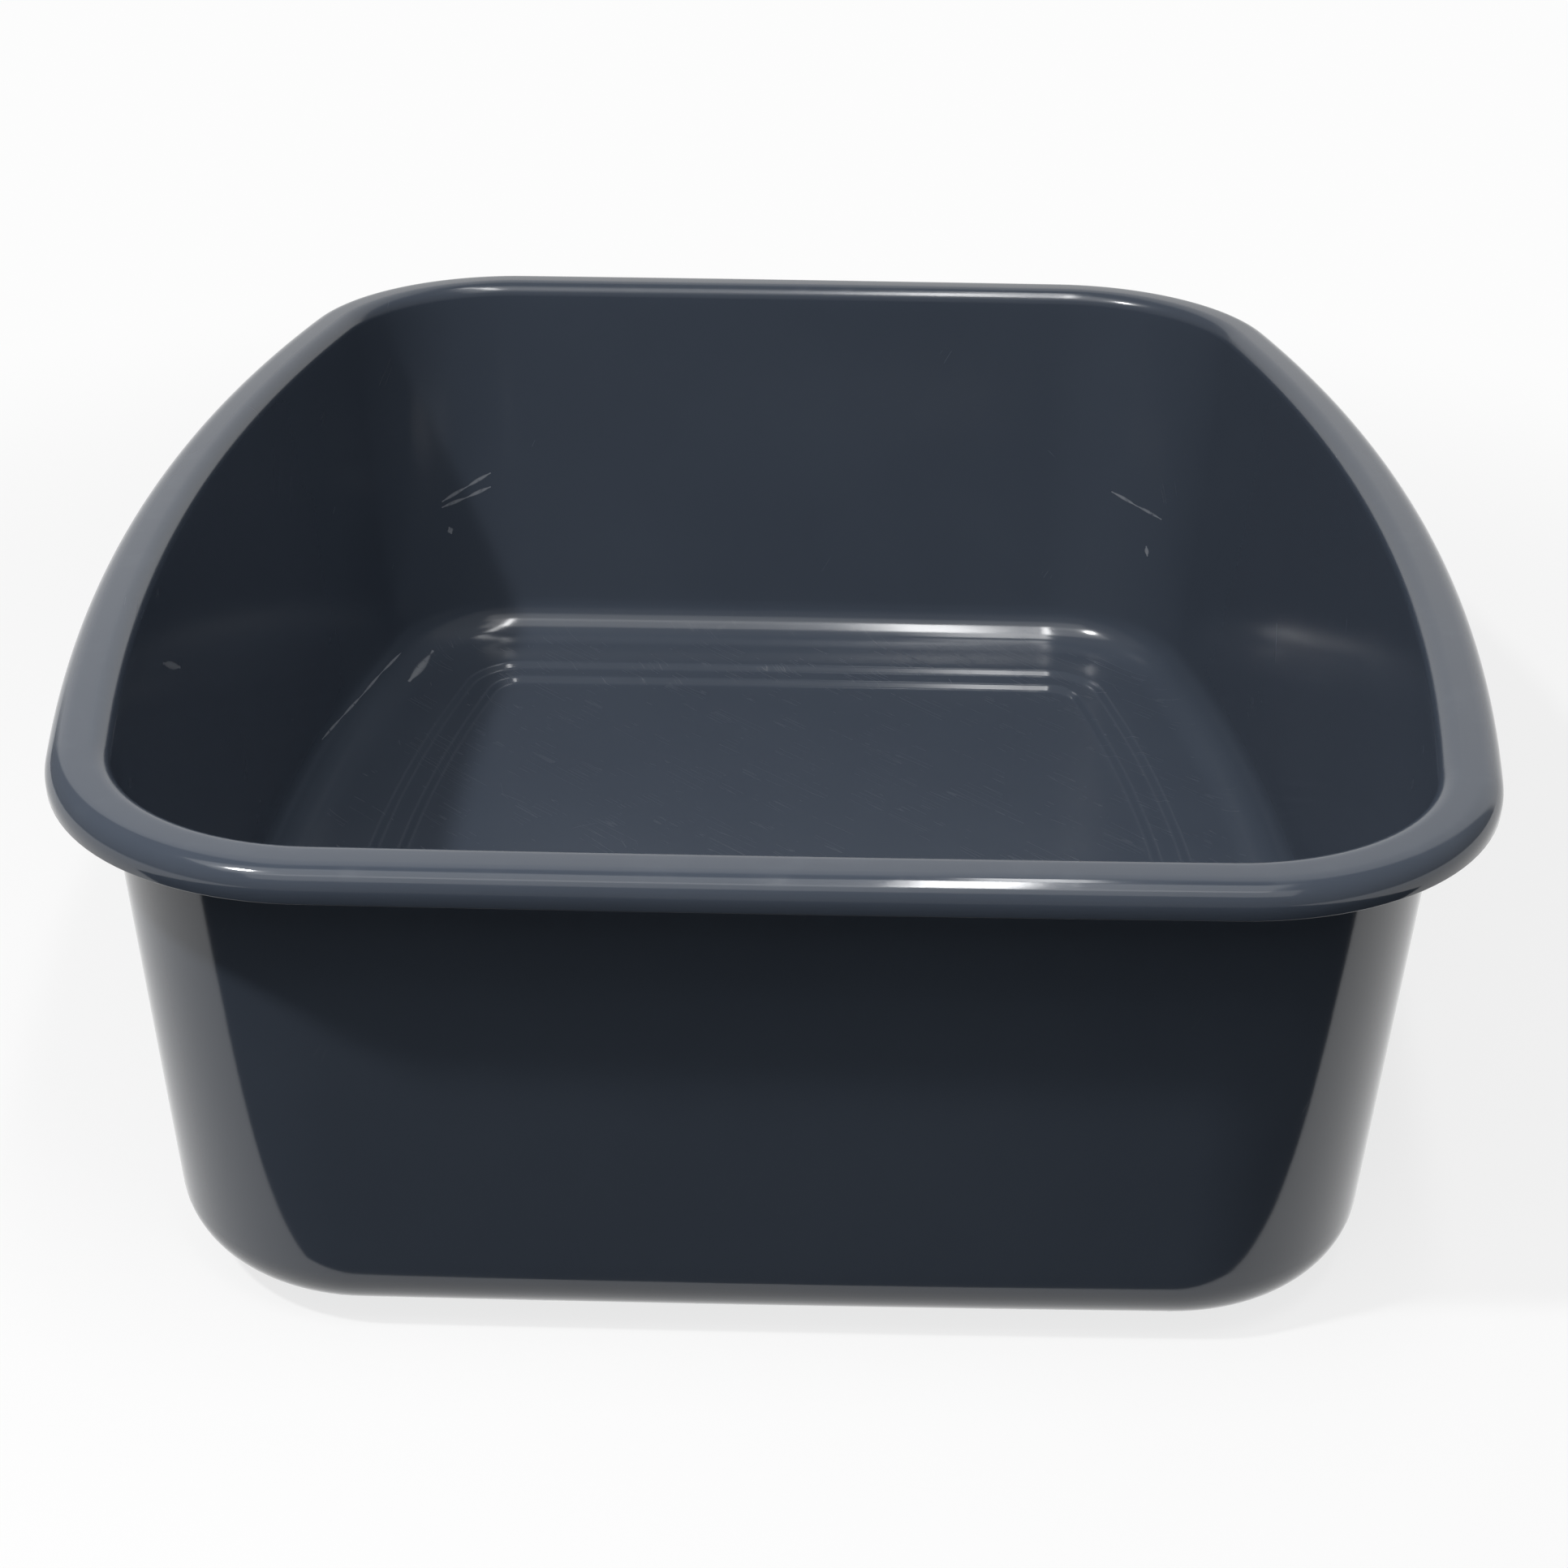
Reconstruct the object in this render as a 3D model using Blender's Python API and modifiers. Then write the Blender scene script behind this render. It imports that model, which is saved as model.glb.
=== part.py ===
"""Washing up bowl: one polypropylene moulding with bowed sides, a rolled rim and a stepped floor.

Units are metres and +Z is up. The origin is under the middle of the bowl, on the surface it
stands on. X runs across the bowl, Y along it.
"""
import math

import bmesh
import bpy

# Overall size
length = 0.390
width = 0.330
height = 0.127

# Plan outline of the rim: long sides and ends are shallow arcs, joined by corner arcs
side_bow = 0.028
end_bow = 0.0015
rim_corner = 0.0635

# Moulded wall
wall = 0.0016
wall_run = 0.005

# Rolled rim
rim_width = 0.0132
rim_depth = 0.0070
roll_radius = 0.0052
mouth_radius = 0.0045
lip_round = 0.0004

# Floor: a ledge round the edge, then two shallow steps down to the middle panel
foot_radius = 0.013
ledge_width = 0.013
step_drop = 0.0016
step_run = 0.0020
step_radius = 0.0018
tread_width = 0.0060
panel_corner = 0.012
panel_margin = 0.012

# Gate mark under the middle of the panel, where the plastic went in
gate_radius = 0.0070
gate_depth = 0.0005
gate_nub_radius = 0.0015
cut_overrun = 0.0010

# Points closer than this are one point, and edges sharper than this are rounded
merge_distance = 0.00001
lip_edge_angle = math.radians(60)

# Plastic
plastic_colour = (0.057, 0.071, 0.096, 1.0)
plastic_roughness = 0.15

# Facets of a quarter of the outline, and of a right angle in the section
side_segments = 4
corner_segments = 8
end_segments = 3
quarter_turn_segments = 6
gate_segments = 24

half_width = width / 2
half_length = length / 2


def arc_radius(half_chord, bow):
    """Radius of the arc that rises by bow over a chord."""
    return (half_chord ** 2 + bow ** 2) / (2 * bow)


def arc_points(centre, radius, start, end, segments):
    """Points along an arc, without its last one."""
    points = []
    for i in range(segments):
        angle = start + (end - start) * i / segments
        points.append((centre[0] + radius * math.cos(angle), centre[1] + radius * math.sin(angle)))
    return points


def quarter_outline(inset):
    """A quarter of the plan outline, moved in from the rim's edge, from the X axis to the Y axis."""
    side_radius = arc_radius(half_length, side_bow) - inset
    end_radius = arc_radius(half_width, end_bow) - inset
    corner = max(rim_corner - inset, panel_corner)
    side_centre = (half_width - inset - side_radius, 0)
    end_centre = (0, half_length - inset - end_radius)
    # The corner arc touches both long arcs from inside, so its centre is a known way from each
    to_side = side_radius - corner
    to_end = end_radius - corner
    apart = math.hypot(side_centre[0], end_centre[1])
    along = (to_side ** 2 - to_end ** 2 + apart ** 2) / (2 * apart)
    across = math.sqrt(to_side ** 2 - along ** 2)
    way = (-side_centre[0] / apart, end_centre[1] / apart)
    corner_centre = (side_centre[0] + way[0] * along - way[1] * across,
                     way[1] * along + way[0] * across)
    side_end = math.atan2(corner_centre[1], corner_centre[0] - side_centre[0])
    end_start = math.atan2(corner_centre[1] - end_centre[1], corner_centre[0])
    points = arc_points(side_centre, side_radius, 0, side_end, side_segments)
    points += arc_points(corner_centre, corner, side_end, end_start, corner_segments)
    points += arc_points(end_centre, end_radius, end_start, math.pi / 2, end_segments)
    points[0] = (half_width - inset, 0)
    points.append((0, half_length - inset))
    return points


def rounded(corners):
    """Section line through corners of (inset, height, radius), with each corner made an arc."""
    line = [corners[0][:2]]
    for before, corner, after in zip(corners, corners[1:], corners[2:]):
        x, z, radius = corner
        angle_in = math.atan2(z - before[1], x - before[0])
        angle_out = math.atan2(after[1] - z, after[0] - x)
        turn = (angle_out - angle_in + math.pi) % (2 * math.pi) - math.pi
        tangent = radius * math.tan(abs(turn) / 2)
        start = (x - tangent * math.cos(angle_in), z - tangent * math.sin(angle_in))
        side = math.copysign(radius, turn)
        centre = (start[0] - side * math.sin(angle_in), start[1] + side * math.cos(angle_in))
        segments = max(2, round(abs(turn) / (math.pi / 2) * quarter_turn_segments))
        for i in range(segments + 1):
            angle = angle_in + turn * i / segments
            line.append((centre[0] + side * math.sin(angle), centre[1] - side * math.cos(angle)))
    line.append(corners[-1][:2])
    return line


def bowl_section():
    """The upper side of the moulding as one line, from the rim's lip to the middle panel."""
    panel_top = wall
    tread_top = panel_top + step_drop
    ledge_top = tread_top + step_drop
    foot = rim_width + wall_run
    ledge_end = foot + foot_radius + ledge_width
    tread_start = ledge_end + step_run
    tread_end = tread_start + tread_width
    panel_start = tread_end + step_run
    return rounded([
        (0, height - rim_depth, 0),
        (0, height, roll_radius),
        (rim_width, height, mouth_radius),
        (foot, ledge_top, foot_radius),
        (ledge_end, ledge_top, step_radius),
        (tread_start, tread_top, step_radius),
        (tread_end, tread_top, step_radius),
        (panel_start, panel_top, step_radius),
        (panel_start + panel_margin, panel_top, 0),
    ])


def new_object(name, mesh, collection):
    item = bpy.data.objects.new(name, mesh)
    collection.objects.link(item)
    return item


def quarter_sheet():
    """A quarter of the moulding's upper side, open at the planes where it is mirrored."""
    sheet = bmesh.new()
    rings = []
    for inset, z in bowl_section():
        rings.append([sheet.verts.new((x, y, z)) for x, y in quarter_outline(inset)])
    for outer, inner in zip(rings, rings[1:]):
        for i in range(len(outer) - 1):
            sheet.faces.new((outer[i], outer[i + 1], inner[i + 1], inner[i]))
    middle = sheet.verts.new((0, 0, rings[-1][0].co.z))
    sheet.faces.new([middle] + rings[-1])
    mesh = bpy.data.meshes.new("bowl")
    sheet.to_mesh(mesh)
    sheet.free()
    mesh.shade_smooth()
    return mesh


def gate_cutter(collection):
    """A ring that cuts the shallow dimple of the gate and leaves its nub in the middle."""
    mesh = bpy.data.meshes.new("gate_cutter")
    corners = [
        (gate_radius, 0, gate_depth),
        (gate_radius, 0, -cut_overrun),
        (gate_nub_radius, 0, -cut_overrun),
        (gate_nub_radius, 0, gate_depth),
    ]
    mesh.from_pydata(corners, [(0, 1), (1, 2), (2, 3), (3, 0)], [])
    cutter = new_object("gate_cutter", mesh, collection)
    turn = cutter.modifiers.new("turn", 'SCREW')
    turn.axis = 'Z'
    turn.steps = gate_segments
    turn.render_steps = gate_segments
    turn.use_merge_vertices = True
    turn.merge_threshold = merge_distance
    cutter.hide_render = True
    cutter.display_type = 'WIRE'
    return cutter


def plastic():
    material = bpy.data.materials.new("anthracite_polypropylene")
    material.use_nodes = True
    shader = material.node_tree.nodes["Principled BSDF"]
    shader.inputs["Base Color"].default_value = plastic_colour
    shader.inputs["Roughness"].default_value = plastic_roughness
    shader.inputs["Metallic"].default_value = 0
    return material


def make_bowl(parts, cutters):
    """The whole bowl: the sheet mirrored twice, given its wall, lip and gate mark."""
    bowl = new_object("bowl", quarter_sheet(), parts)
    bowl.data.materials.append(plastic())
    halves = bowl.modifiers.new("four_quarters", 'MIRROR')
    halves.use_axis = (True, True, False)
    halves.merge_threshold = merge_distance
    shell = bowl.modifiers.new("wall", 'SOLIDIFY')
    shell.thickness = wall
    shell.offset = -1
    shell.use_even_offset = True
    shell.use_quality_normals = True
    lip = bowl.modifiers.new("lip", 'BEVEL')
    lip.width = lip_round
    lip.segments = 2
    lip.limit_method = 'ANGLE'
    lip.angle_limit = lip_edge_angle
    gate = bowl.modifiers.new("gate", 'BOOLEAN')
    gate.operation = 'DIFFERENCE'
    gate.solver = 'EXACT'
    gate.object = gate_cutter(cutters)
    return bowl


def clear_scene():
    for item in list(bpy.data.objects):
        bpy.data.objects.remove(item, do_unlink=True)


def new_collection(name):
    collection = bpy.data.collections.new(name)
    bpy.context.scene.collection.children.link(collection)
    return collection


clear_scene()
make_bowl(new_collection("washing_up_bowl"), new_collection("cutters"))
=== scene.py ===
"""Looks of a washing up bowl: one glossy anthracite moulding on a pale studio floor."""

import math

import bmesh
import bpy
from mathutils import Matrix, Vector


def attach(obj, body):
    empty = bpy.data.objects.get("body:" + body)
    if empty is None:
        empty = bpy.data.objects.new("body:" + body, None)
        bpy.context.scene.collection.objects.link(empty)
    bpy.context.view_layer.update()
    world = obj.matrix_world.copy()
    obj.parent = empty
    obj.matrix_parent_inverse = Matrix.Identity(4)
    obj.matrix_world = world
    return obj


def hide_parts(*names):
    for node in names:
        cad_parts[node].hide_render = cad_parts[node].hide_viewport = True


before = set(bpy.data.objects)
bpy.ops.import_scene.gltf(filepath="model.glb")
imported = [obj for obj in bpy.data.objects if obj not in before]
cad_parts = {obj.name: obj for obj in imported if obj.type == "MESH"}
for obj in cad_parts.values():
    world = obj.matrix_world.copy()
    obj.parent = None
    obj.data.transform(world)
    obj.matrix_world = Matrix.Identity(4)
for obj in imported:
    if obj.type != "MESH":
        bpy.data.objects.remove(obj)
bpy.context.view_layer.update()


# The bowl: one injection moulding in anthracite grey polypropylene, with floor, walls and rolled
# rim all one wall of plastic. Its section is drawn once and swept round the plan outline, then
# the wall gets its thickness, the lip is rounded and the gate mark is sunk into the underside.
half_length = 0.19498
half_width = 0.16498
height = 0.127

side_bow = 0.028
end_bow = 0.0015
rim_corner = 0.0635

wall = 0.0016
wall_run = 0.005

rim_width = 0.0132
rim_depth = 0.0070
roll_radius = 0.0052
mouth_radius = 0.0045
lip_round = 0.0004

foot_radius = 0.013
ledge_width = 0.013
step_drop = 0.0016
step_run = 0.0020
step_radius = 0.0018
tread_width = 0.0060
panel_edge = 0.0030

gate_radius = 0.0070
gate_margin = 0.0004
gate_depth = 0.0005
gate_slope = 0.0004
gate_nub_radius = 0.0015
nub_slope = 0.0002
nub_height = 0.0004

side_steps = 20
corner_steps = 26
end_steps = 14
quarter_roll_steps = 12
least_roll_steps = 4
gate_steps = 48
lip_steps = 3
longest_edge = 0.004
same_point = 0.00001
sharp_edge = math.radians(60)
round_profile = 0.5


def arc_radius(half_chord, bow):
    """Radius of the arc that rises by bow over a chord."""
    return (half_chord ** 2 + bow ** 2) / (2 * bow)


def drawn_section(mesh, corners):
    """The upper side of the moulding as a line across the side wall, with its corners rounded."""
    places = [Vector((half_width - inset, 0, z)) for inset, z, radius in corners]
    points = [mesh.verts.new(place) for place in places]
    for one, other in zip(points, points[1:]):
        mesh.edges.new((one, other))
    for i in range(1, len(corners) - 1):
        radius = corners[i][2]
        turn = (places[i] - places[i - 1]).angle(places[i + 1] - places[i])
        steps = max(least_roll_steps, round(quarter_roll_steps * turn / (math.pi / 2)))
        bmesh.ops.bevel(mesh, geom=[points[i]], offset=radius * math.tan(turn / 2),
                        offset_type='OFFSET', segments=steps, profile=round_profile,
                        affect='VERTICES', clamp_overlap=False, material=-1)


def swept(mesh, section, centre, angle, steps):
    """The section swept on round one arc of the outline. Returns where it has come to."""
    made = bmesh.ops.spin(mesh, geom=section, cent=centre, axis=(0, 0, 1), dvec=(0, 0, 0),
                          angle=angle, steps=steps, use_merge=False, use_duplicate=False,
                          use_normal_flip=False)
    return made["geom_last"]


def everything(mesh):
    """All the points, edges and faces of a mesh."""
    return mesh.verts[:] + mesh.edges[:] + mesh.faces[:]


def open_edges(mesh, z, within):
    """The open edges of the sheet that lie at a height, inside a radius about the middle."""
    return [e for e in mesh.edges if e.is_boundary
            and all(abs(v.co.z - z) < same_point and v.co.xy.length < within for v in e.verts)]


panel_top = wall
tread_top = panel_top + step_drop
ledge_top = tread_top + step_drop
foot = rim_width + wall_run
ledge_end = foot + foot_radius + ledge_width
tread_start = ledge_end + step_run
tread_end = tread_start + tread_width
panel_start = tread_end + step_run

side_radius = arc_radius(half_length, side_bow)
end_radius = arc_radius(half_width, end_bow)
side_centre = Vector((half_width - side_radius, 0, 0))
end_centre = Vector((0, half_length - end_radius, 0))
# The corner arc touches both long arcs from inside, so its centre is a known way from each
to_side = side_radius - rim_corner
to_end = end_radius - rim_corner
apart = end_centre - side_centre
along = (to_side ** 2 - to_end ** 2 + apart.length_squared) / (2 * apart.length)
across = math.sqrt(to_side ** 2 - along ** 2)
way = apart.normalized()
corner_centre = side_centre + way * along - way.cross(Vector((0, 0, 1))) * across
side_end = math.atan2(corner_centre.y, corner_centre.x - side_centre.x)
end_start = math.atan2(corner_centre.y - end_centre.y, corner_centre.x)

bowl_mesh = bmesh.new()
drawn_section(bowl_mesh, [
    (0, height - rim_depth, 0),
    (0, height, roll_radius),
    (rim_width, height, mouth_radius),
    (foot, ledge_top, foot_radius),
    (ledge_end, ledge_top, step_radius),
    (tread_start, tread_top, step_radius),
    (tread_end, tread_top, step_radius),
    (panel_start, panel_top, step_radius),
    (panel_start + panel_edge, panel_top, 0),
])
for edge in bowl_mesh.edges[:]:
    cuts = int(edge.calc_length() / longest_edge)
    if cuts:
        bmesh.ops.subdivide_edges(bowl_mesh, edges=[edge], cuts=cuts)
section = everything(bowl_mesh)
for centre, angle, steps in ((side_centre, side_end, side_steps),
                             (corner_centre, end_start - side_end, corner_steps),
                             (end_centre, math.pi / 2 - end_start, end_steps)):
    section = swept(bowl_mesh, section, centre, angle, steps)
for axis in ('X', 'Y'):
    bmesh.ops.mirror(bowl_mesh, geom=everything(bowl_mesh), axis=axis, matrix=Matrix.Identity(4),
                     merge_dist=same_point)
bmesh.ops.remove_doubles(bowl_mesh, verts=bowl_mesh.verts[:], dist=same_point)

# The middle panel runs in to the round patch over the gate
panel_loop = open_edges(bowl_mesh, panel_top, half_length)
patch = bmesh.ops.create_circle(bowl_mesh, cap_ends=False, segments=gate_steps,
                                radius=gate_radius + gate_margin,
                                matrix=Matrix.Translation((0, 0, panel_top)))
patch_loop = list(dict.fromkeys(e for v in patch["verts"] for e in v.link_edges))
bmesh.ops.triangle_fill(bowl_mesh, edges=panel_loop + patch_loop, normal=(0, 0, 1),
                        use_beauty=True, use_dissolve=False)
bmesh.ops.edgeloop_fill(bowl_mesh, edges=patch_loop)
bmesh.ops.recalc_face_normals(bowl_mesh, faces=bowl_mesh.faces[:])
if sum(f.normal.z * f.calc_area() for f in bowl_mesh.faces) < 0:
    bmesh.ops.reverse_faces(bowl_mesh, faces=bowl_mesh.faces[:])
bmesh.ops.solidify(bowl_mesh, geom=bowl_mesh.faces[:], thickness=wall)
bmesh.ops.recalc_face_normals(bowl_mesh, faces=bowl_mesh.faces[:])

# The lip under the rim is rounded on both its edges
lip_edges = [e for e in bowl_mesh.edges
             if e.calc_face_angle() > sharp_edge and e.verts[0].co.z > height - 2 * rim_depth]
bmesh.ops.bevel(bowl_mesh, geom=lip_edges, offset=lip_round, offset_type='OFFSET',
                segments=lip_steps, profile=round_profile, affect='EDGES', clamp_overlap=True,
                material=-1)

# The gate mark under the panel: a shallow round dimple with the nub of the cut sprue in it. The
# flat ring round it keeps the shading of the panel even.
gate_face = min((f for f in bowl_mesh.faces if len(f.verts) == gate_steps),
                key=lambda f: f.calc_center_median().z)
dimple_floor = gate_radius - gate_slope - gate_nub_radius - nub_slope
for inward_by, raised_by in ((gate_margin, 0), (gate_slope, -gate_depth), (dimple_floor, 0),
                             (nub_slope, nub_height)):
    bmesh.ops.inset_region(bowl_mesh, faces=[gate_face], thickness=inward_by, depth=raised_by)

looks = bpy.data.meshes.new("washing_up_bowl")
bowl_mesh.to_mesh(looks)
bowl_mesh.free()
looks.shade_smooth()
bowl = bpy.data.objects.new("washing_up_bowl", looks)
bpy.context.scene.collection.objects.link(bowl)


def wired(material, kind, **inputs):
    """A node of a material, with its settings made and its inputs set or joined to other nodes."""
    tree = material.node_tree
    node = tree.nodes.new("ShaderNode" + kind)
    for name, value in inputs.items():
        if name in node.bl_rna.properties:
            setattr(node, name, value)
        elif isinstance(value, bpy.types.NodeSocket):
            tree.links.new(value, node.inputs[name.replace("_", " ")])
        else:
            node.inputs[name.replace("_", " ")].default_value = value
    return node


def combined(material, kind, operation, *values):
    """A node of sums on numbers, places or other nodes' outputs."""
    node = material.node_tree.nodes.new("ShaderNode" + kind)
    node.operation = operation
    for socket, value in zip(node.inputs, values):
        if isinstance(value, bpy.types.NodeSocket):
            material.node_tree.links.new(value, socket)
        else:
            socket.default_value = value
    return node


def reckoned(material, operation, *numbers):
    """The result of a sum on numbers."""
    return combined(material, "Math", operation, *numbers).outputs["Value"]


def arrow(material, operation, first, second):
    """The place or direction that a sum on two others gives."""
    return combined(material, "VectorMath", operation, first, second).outputs["Vector"]


def measured(material, operation, first, second):
    """The number that a sum on two places or directions gives."""
    return combined(material, "VectorMath", operation, first, second).outputs["Value"]


def part_of(material, place, axis):
    """The X, Y or Z of a place or direction."""
    return wired(material, "SeparateXYZ", Vector=place).outputs[axis]


def eased(material, value, zero_at, one_at):
    """A smooth rise from 0 to 1 as a value goes from one figure to another."""
    return wired(material, "MapRange", interpolation_type='SMOOTHSTEP', Value=value,
                 From_Min=zero_at, From_Max=one_at).outputs["Result"]


def blended(material, share, first, second):
    """The colour that goes from one to another as a share goes from 0 to 1."""
    return wired(material, "Mix", data_type='RGBA', Factor=share, A=first,
                 B=second).outputs["Result"]


def cloud(material, place, size, detail=2.0):
    """Soft patches of about a size in metres, from 0 to 1."""
    return wired(material, "TexNoise", Vector=place, Scale=1 / size, Detail=detail,
                 Roughness=0.55).outputs["Fac"]


def scratch_lines(material, place, lean, apart, line, patch, share):
    """Fine scratches: wavy sheets that stand across a direction, cut by the surface, in patches."""
    stretch = 26
    patch_blur = 0.08
    sheet_length = stretch * apart
    sheets = wired(material, "Mapping", vector_type='TEXTURE', Vector=place, Rotation=lean,
                   Scale=(apart, sheet_length, sheet_length)).outputs["Vector"]
    waves = wired(material, "TexNoise", Vector=sheets, Scale=1.0, Detail=1.0,
                  Roughness=0.4).outputs["Fac"]
    to_middle = reckoned(material, 'ABSOLUTE', reckoned(material, 'SUBTRACT', waves, 0.5))
    lines = eased(material, to_middle, line / apart, 0.0)
    patches = eased(material, cloud(material, place, patch), 1 - share, 1 - share + patch_blur)
    return reckoned(material, 'MULTIPLY', lines, patches)


def pale_stroke(material, place, start, end, width):
    """A short stroke, fullest in its middle: used for the rub marks and for the painted reflections."""
    thinnest = 0.35
    solid_share = 0.3
    run = end - start
    from_start = arrow(material, 'SUBTRACT', place, start)
    along_run = measured(material, 'DOT_PRODUCT', from_start, run / run.length_squared)
    along_run = reckoned(material, 'MINIMUM', along_run, 1.0)
    along_run = reckoned(material, 'MAXIMUM', along_run, 0.0)
    nearest = wired(material, "VectorMath", operation='SCALE', Vector=tuple(run), Scale=along_run)
    aside = measured(material, 'DISTANCE', from_start, nearest.outputs["Vector"])
    to_end = reckoned(material, 'SUBTRACT', 1.0, along_run)
    # The product of the two shares is a quarter in the middle of the run
    fullness = reckoned(material, 'MULTIPLY', reckoned(material, 'MULTIPLY', along_run, to_end), 4.0)
    fullness = reckoned(material, 'MAXIMUM', fullness, thinnest)
    aside = reckoned(material, 'DIVIDE', aside, fullness)
    return eased(material, aside, width, solid_share * width)


def wall_inset(z):
    """How far the inner wall, or the fillet at its foot, is in from the rim's edge at a height."""
    slope = wall_run / (height - ledge_top)
    fillet_top = ledge_top + foot_radius
    into_fillet = max(fillet_top - z, 0)
    fillet_reach = foot_radius * math.hypot(1, slope) - math.sqrt(foot_radius ** 2 - into_fillet ** 2)
    return rim_width + slope * (height - max(z, fillet_top)) + fillet_reach


def on_back_corner(*points):
    """Places on the inside of a back corner, each from how far across and how high it is."""
    places = []
    for x, z in points:
        radius = rim_corner - wall_inset(z)
        from_centre = math.sqrt(radius ** 2 - (abs(x) - corner_centre.x) ** 2)
        places.append(Vector((x, corner_centre.y + from_centre, z)))
    return places


def on_left_wall(*points):
    """Places on the inside of the left wall, each from how far along and how high it is."""
    places = []
    for y, z in points:
        radius = side_radius - wall_inset(z)
        places.append(Vector((-side_centre.x - math.sqrt(radius ** 2 - y ** 2), y, z)))
    return places


flow_dark = (0.052, 0.065, 0.089, 1)
flow_pale = (0.063, 0.078, 0.104, 1)
# The pale colour of scuffs, also used for the painted reflections in the back corners and the painted
# highlight on the rub marks
scuff_and_reflection_colour = (0.300, 0.320, 0.345, 1)
plastic_gloss = 0.075
gloss_swing = 0.05
plastic_bend = 1.58

flow_size = 0.060
gloss_patch = 0.022
grain_size = 0.0007
wave_size = 0.050
wave_depth = 0.00010
peel_size = 0.0024
peel_depth = 0.0000022
scratch_depth = 0.000006
hand_patch = 0.014
stroke_break = 0.0022

# Where each mask is 0 and where it is 1: how far inwards the surface faces, how far upwards, its
# level, and the strength of the patches in it
inward_facing = (0.0, -0.03)
floor_facing = (0.2, 0.5)
slope_facing = (0.99, 0.93)
floor_level = (0.03, 0.02)
dish_level = (0.012, 0.006)
standing_level = (0.0010, 0.0002)
hand_level = (height - 0.0035, height - 0.0005)
hand_strength = (0.50, 0.72)
stroke_strength = (0.18, 0.48)

plastic =bpy.data.materials.new("anthracite_polypropylene")
plastic.use_nodes = True
shine = plastic.node_tree.nodes["Principled BSDF"]
coordinates = wired(plastic, "TexCoord").outputs
place = coordinates["Object"]
facing = coordinates["Normal"]
level = part_of(plastic, place, "Z")
upward = part_of(plastic, facing, "Z")

# Where the surface is inside the bowl: walls that face the middle, and the top of the floor. The
# slopes there are the fillet of the foot and the risers of the steps.
outwards = arrow(plastic, 'MULTIPLY', place, (1, 1, 0))
inward = eased(plastic, measured(plastic, 'DOT_PRODUCT', outwards, facing), *inward_facing)
floor_top = reckoned(plastic, 'MULTIPLY', eased(plastic, upward, *floor_facing),
                     eased(plastic, level, *floor_level))
inside = reckoned(plastic, 'MAXIMUM', inward, floor_top)
slopes = reckoned(plastic, 'MULTIPLY', floor_top, eased(plastic, upward, *slope_facing))

# Wear: fine scratches all over, more on the floor where dishes slide, and a scuffed standing ring
scratches = reckoned(plastic, 'MAXIMUM',
                     scratch_lines(plastic, place, lean=(0.3, 0.5, 0.25), apart=0.0045,
                                   line=0.00006, patch=0.020, share=0.34),
                     scratch_lines(plastic, place, lean=(-0.2, 0.4, 1.95), apart=0.0060,
                                   line=0.00006, patch=0.026, share=0.34))
floor_scratches = scratch_lines(plastic, place, lean=(0.0, 0.2, 0.8), apart=0.0026,
                                line=0.00005, patch=0.012, share=0.50)
floor_scratches = reckoned(plastic, 'MULTIPLY', floor_scratches, eased(plastic, level, *dish_level))
marks = reckoned(plastic, 'MAXIMUM', scratches, floor_scratches)
standing = eased(plastic, level, *standing_level)
hand_wear = reckoned(plastic, 'MULTIPLY', eased(plastic, level, *hand_level),
                     eased(plastic, cloud(plastic, place, hand_patch, detail=4.0), *hand_strength))

# Rub marks and painted reflections inside, each a run of places and its width. The two strokes and a
# dot in the back left corner and the stroke and a dot in the back right one are painted reflections,
# not wear. The long scratch and the scuff at the foot of the left wall, and the nick high on it, are
# wear marks whose pale colour is partly a painted highlight. The scuff's back end is a quarter of a
# millimetre above the surface, so it shows thin there.
rub_and_reflection_strokes = (
    (on_back_corner((-0.1167, 0.0553), (-0.1090, 0.0587), (-0.1012, 0.0626)), 0.0009),
    (on_back_corner((-0.1168, 0.0533), (-0.1091, 0.0550), (-0.1014, 0.0577)), 0.0009),
    (on_back_corner((-0.1150, 0.0455), (-0.1145, 0.0435)), 0.0014),
    (on_back_corner((0.1092, 0.0608), (0.1170, 0.0580), (0.1246, 0.0563)), 0.0008),
    (on_back_corner((0.1210, 0.0450), (0.1215, 0.0420)), 0.0011),
    (on_left_wall((0.1435, 0.0106), (0.1265, 0.0112), (0.1088, 0.0116), (0.0909, 0.0127),
                  (0.0731, 0.0141)), 0.0006),
    ([Vector((-0.1205, 0.1530, 0.0070)), Vector((-0.1255, 0.1320, 0.0056))], 0.0019),
    (on_left_wall((-0.0615, 0.1050), (-0.0450, 0.0960)), 0.0013),
)
rubs_and_reflections = 0.0
for run, width in rub_and_reflection_strokes:
    for start, end in zip(run, run[1:]):
        rubs_and_reflections = reckoned(plastic, 'MAXIMUM', rubs_and_reflections, pale_stroke(plastic, place, start, end, width))
broken_up = eased(plastic, cloud(plastic, place, stroke_break, detail=3.0), *stroke_strength)
rubs_and_reflections = reckoned(plastic, 'MULTIPLY', rubs_and_reflections, broken_up)

# Colour: the pigment flowed a little unevenly into the mould, wear makes it paler, and the rub
# strokes add painted reflections and a painted highlight in pale colour
paleness_from_wear_and_reflections = 0.0
for pale_mark, paleness in ((marks, 0.026), (rubs_and_reflections, 0.75), (hand_wear, 0.025), (standing, 0.10)):
    paleness_from_wear_and_reflections = reckoned(plastic, 'MAXIMUM', paleness_from_wear_and_reflections, reckoned(plastic, 'MULTIPLY', pale_mark, paleness))
flow_colour = blended(plastic, cloud(plastic, place, flow_size, detail=3.0), flow_dark, flow_pale)
colour = blended(plastic, paleness_from_wear_and_reflections, flow_colour, scuff_and_reflection_colour)
plastic.node_tree.links.new(colour, shine.inputs["Base Color"])

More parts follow.
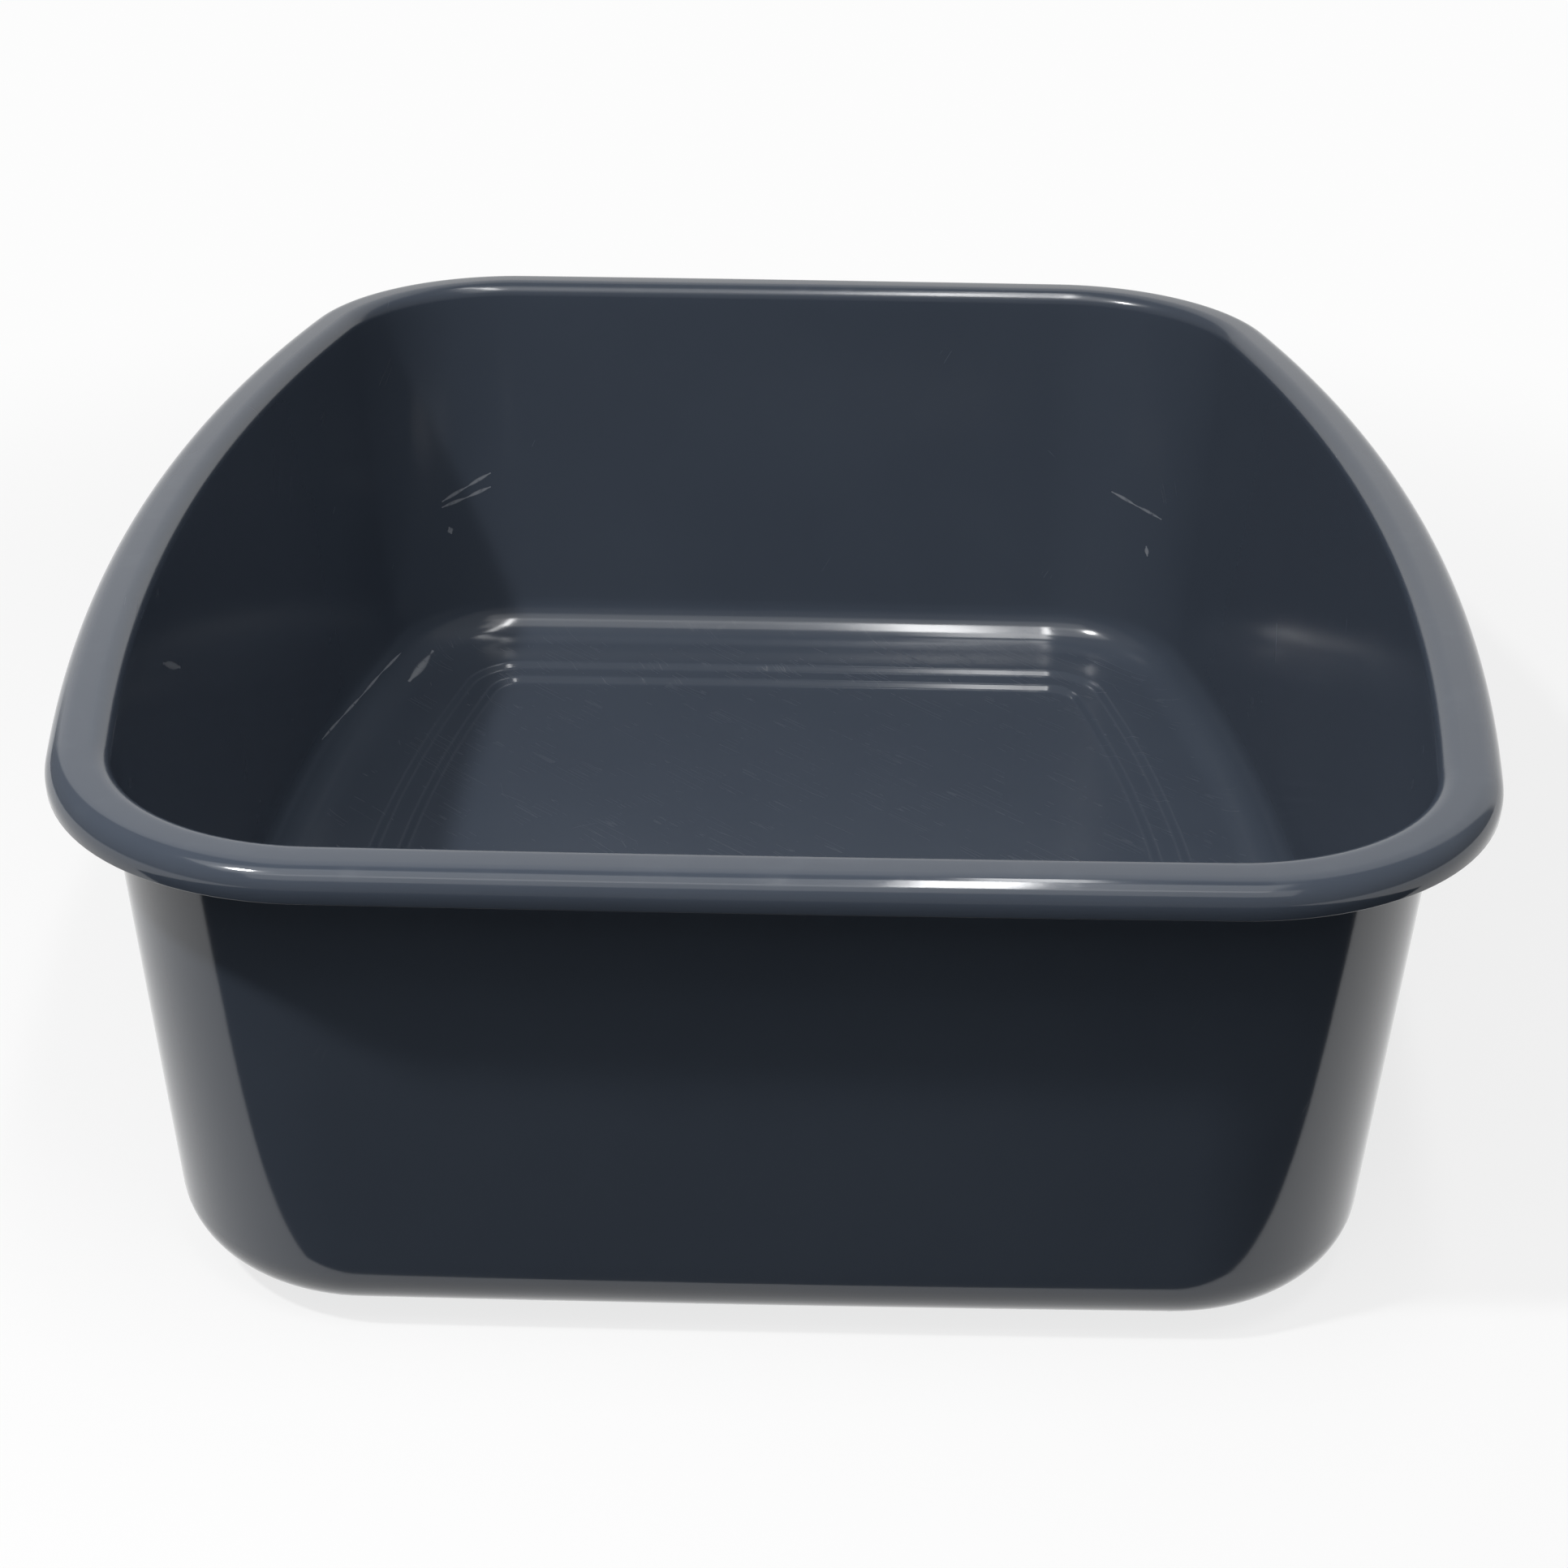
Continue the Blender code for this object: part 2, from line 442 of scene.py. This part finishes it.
# Gloss: mould polish, hazier where the inside is washed and worn, but not on the slopes, which
# nothing slides over
haze = reckoned(plastic, 'MULTIPLY_ADD', cloud(plastic, place, gloss_patch, detail=3.0),
                gloss_swing, plastic_gloss - gloss_swing / 2)
grain = cloud(plastic, place, grain_size)
for zone, haziness in ((inside, 0.095), (floor_top, 0.045), (slopes, -0.085), (grain, 0.02),
                       (marks, 0.16), (rubs_and_reflections, 0.30), (hand_wear, 0.08), (standing, 0.28)):
    haze = reckoned(plastic, 'MULTIPLY_ADD', zone, haziness, haze)
plastic.node_tree.links.new(haze, shine.inputs["Roughness"])

# Relief: slow waves of the cooled moulding, a faint orange peel, and the depth of the scratches
waves = wired(plastic, "Bump", Strength=1.0, Distance=wave_depth,
              Height=cloud(plastic, place, wave_size))
peel = wired(plastic, "Bump", Strength=1.0, Distance=peel_depth,
             Height=cloud(plastic, place, peel_size), Normal=waves.outputs["Normal"])
grooves = wired(plastic, "Bump", invert=True, Strength=0.6, Distance=scratch_depth,
                Height=reckoned(plastic, 'MAXIMUM', marks, rubs_and_reflections), Normal=peel.outputs["Normal"])
plastic.node_tree.links.new(grooves.outputs["Normal"], shine.inputs["Normal"])
shine.inputs["IOR"].default_value = plastic_bend

looks.materials.append(plastic)
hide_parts("bowl")
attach(bowl, "root")


# The studio floor: a disc of pale paper that goes to white away from the bowl. Seen or mirrored,
# the paper is near white and glows, and it is greyer for the light that it throws back. It is
# clear from below, so that the underside of the bowl can be seen.
floor_reach = 6.0
floor_gap = 0.0002
floor_steps = 96
lit_reach = 0.25
white_reach = 0.62
paper_white = 0.975
paper_glow = 0.78
paper_bounce = 0.30


def grey(brightness):
    """A neutral colour."""
    return (brightness, brightness, brightness, 1)


def studio_object(name, mesh, material):
    """An object of the studio, from a mesh in its making and a matt material."""
    matt = material.node_tree.nodes["Principled BSDF"]
    matt.inputs["Roughness"].default_value = 0.9
    matt.inputs["Specular IOR Level"].default_value = 0.0
    finished = bpy.data.meshes.new(name)
    mesh.to_mesh(finished)
    mesh.free()
    finished.materials.append(material)
    item = bpy.data.objects.new(name, finished)
    bpy.context.scene.collection.objects.link(item)
    return item


paper = bpy.data.materials.new("pale_paper")
paper.use_nodes = True
sheet = paper.node_tree.nodes["Principled BSDF"]
paper_ray = wired(paper, "LightPath").outputs
in_mirror = reckoned(paper, 'MAXIMUM', paper_ray["Is Glossy Ray"], paper_ray["Is Transmission Ray"])
in_view = reckoned(paper, 'MAXIMUM', paper_ray["Is Camera Ray"], in_mirror)
floor_place = wired(paper, "TexCoord").outputs["Object"]
from_bowl = wired(paper, "VectorMath", operation='LENGTH', Vector=floor_place).outputs["Value"]
away = reckoned(paper, 'MAXIMUM', in_mirror, eased(paper, from_bowl, lit_reach, white_reach))
lit_colour = blended(paper, away, grey(paper_white - paper_glow), grey(0))
paper_colour = blended(paper, in_view, grey(paper_bounce), lit_colour)
glow = wired(paper, "MapRange", Value=away, To_Min=paper_glow, To_Max=paper_white).outputs["Result"]
paper.node_tree.links.new(paper_colour, sheet.inputs["Base Color"])
paper.node_tree.links.new(reckoned(paper, 'MULTIPLY', glow, in_view), sheet.inputs["Emission Strength"])
sheet.inputs["Emission Color"].default_value = grey(1)

clear = wired(paper, "BsdfTransparent").outputs["BSDF"]
from_below = wired(paper, "NewGeometry").outputs["Backfacing"]
one_sided = paper.node_tree.nodes.new("ShaderNodeMixShader")
for socket, value in zip(one_sided.inputs, (from_below, sheet.outputs["BSDF"], clear)):
    paper.node_tree.links.new(value, socket)
paper_surface = paper.node_tree.nodes["Material Output"].inputs["Surface"]
paper.node_tree.links.new(one_sided.outputs["Shader"], paper_surface)

floor_mesh = bmesh.new()
bmesh.ops.create_circle(floor_mesh, cap_ends=True, segments=floor_steps, radius=floor_reach,
                        matrix=Matrix.Translation((0, 0, -floor_gap)))
studio_floor = studio_object("studio_floor", floor_mesh, paper)


# The card: a large sheet of black velvet that lies in front of the bowl and only shows as a dark
# reflection in its end wall. Its edge runs straight across, bends away a little at the left, and
# its sides fan out from the bowl.
card_edge = -0.193
card_size = 4.0
card_lift = 0.0004
card_left_bend = (-0.112, (-0.18, 1, 0))
card_left_side = (-0.34, (-1, 0.45, 0))
card_right_side = (0.34, (1, 0.45, 0))
velvet_black = 0.01

card_mesh = bmesh.new()
bmesh.ops.create_grid(card_mesh, x_segments=1, y_segments=1, size=card_size / 2,
                      matrix=Matrix.Translation((0, card_edge - card_size / 2, card_lift)))
for cut_at, cut_away in (card_left_bend, card_left_side, card_right_side):
    bmesh.ops.bisect_plane(card_mesh, geom=everything(card_mesh),
                           plane_co=(cut_at, card_edge, card_lift), plane_no=cut_away,
                           clear_outer=True)
velvet = bpy.data.materials.new("black_velvet")
velvet.use_nodes = True
velvet.node_tree.nodes["Principled BSDF"].inputs["Base Color"].default_value = grey(velvet_black)
black_card = studio_object("black_card", card_mesh, velvet)
black_card.visible_camera = False
black_card.visible_diffuse = False
black_card.visible_transmission = False
black_card.visible_shadow = False


# The lamps: a soft light overhead and one in front, two narrow ceiling lamps that draw the bright
# streaks on the rim, and a small window lamp from the left that makes the glints.
def softbox(name, place, aim, width, depth, radiance):
    """A flat lamp of a size, at a place, aimed at a point, with the given brightness of its face."""
    lamp = bpy.data.lights.new(name, 'AREA')
    lamp.shape = 'RECTANGLE'
    lamp.size = width
    lamp.size_y = depth
    lamp.energy = radiance * width * depth * math.pi
    stand = bpy.data.objects.new(name, lamp)
    stand.location = place
    stand.rotation_euler = (Vector(aim) - Vector(place)).to_track_quat('-Z', 'Y').to_euler()
    bpy.context.scene.collection.objects.link(stand)


softbox("overhead", place=(-0.20, -0.48, 1.20), aim=(-0.20, -0.43, 0),
        width=1.4, depth=0.65, radiance=1.25)
softbox("front_light", place=(0, -1.00, 1.20), aim=(0, -0.10, 0),
        width=1.6, depth=0.6, radiance=0.90)
softbox("ceiling_lamp", place=(0.107, -0.38, 1.00), aim=(0.107, -0.30, 0),
        width=0.065, depth=0.50, radiance=25.0)
softbox("back_ceiling_lamp", place=(0.143, 0.01, 1.00), aim=(0.143, 0.01, 0),
        width=0.070, depth=0.26, radiance=9.0)
softbox("window_lamp", place=(-0.52, -0.43, 0.97), aim=(0, 0, 0),
        width=0.06, depth=0.06, radiance=540.0)


# The room: in reflections a white wall behind the bowl, dimmer to the sides and overhead. It is
# white wherever the camera looks, and throws back little light of its own.
wall_turn = math.radians(8)
wall_half_angle = math.radians(46)
wall_blur = 0.03
wall_white = 0.90
wall_top = 0.86
wall_top_blur = 0.09
room_dim = 0.22
room_bounce = 0.04

sky = bpy.data.worlds.new("studio_room")
sky.use_nodes = True
bpy.context.scene.world = sky
room = sky.node_tree.nodes["Background"]
room.inputs["Color"].default_value = grey(1)
way_out = wired(sky, "TexCoord").outputs["Generated"]
level_way = arrow(sky, 'MULTIPLY', way_out, (1, 1, 0))
level_way = wired(sky, "VectorMath", operation='NORMALIZE', Vector=level_way).outputs["Vector"]
to_wall = measured(sky, 'DOT_PRODUCT', level_way, (math.sin(wall_turn), math.cos(wall_turn), 0))
wall_edge = math.cos(wall_half_angle)
behind = eased(sky, to_wall, wall_edge - wall_blur, wall_edge + wall_blur)
under_top = eased(sky, part_of(sky, way_out, "Z"), wall_top + wall_top_blur, wall_top)
behind = reckoned(sky, 'MULTIPLY', behind, under_top)
mirrored = wired(sky, "MapRange", Value=behind, To_Min=room_dim, To_Max=wall_white).outputs["Result"]
sky_ray = wired(sky, "LightPath").outputs
mirrored = reckoned(sky, 'MULTIPLY', mirrored, sky_ray["Is Glossy Ray"])
seen = reckoned(sky, 'MAXIMUM', sky_ray["Is Camera Ray"], sky_ray["Is Transmission Ray"])
seen = reckoned(sky, 'MAXIMUM', reckoned(sky, 'MULTIPLY', seen, paper_white), mirrored)
sky.node_tree.links.new(reckoned(sky, 'MAXIMUM', seen, room_bounce), room.inputs["Strength"])


# The camera: it stands where the photograph was taken from, a little turned and tilted, with the
# focal length given in pixels of the picture.
camera_place = (0.00553, -0.56403, 0.35008)
camera_yaw = -0.0077
camera_pitch = 0.5010
camera_roll = 0.0137
picture_width = 1932
focal_length = 2865.6

lens = bpy.data.cameras.new("camera")
lens.sensor_width = 36
lens.lens = lens.sensor_width * focal_length / picture_width
camera = bpy.data.objects.new("camera", lens)
camera.matrix_world = (Matrix.Translation(camera_place) @ Matrix.Rotation(-camera_yaw, 4, 'Z')
                       @ Matrix.Rotation(math.pi / 2 - camera_pitch, 4, 'X')
                       @ Matrix.Rotation(camera_roll, 4, 'Z'))
bpy.context.scene.collection.objects.link(camera)
bpy.context.scene.camera = camera

bpy.context.scene.view_settings.view_transform = 'Standard'
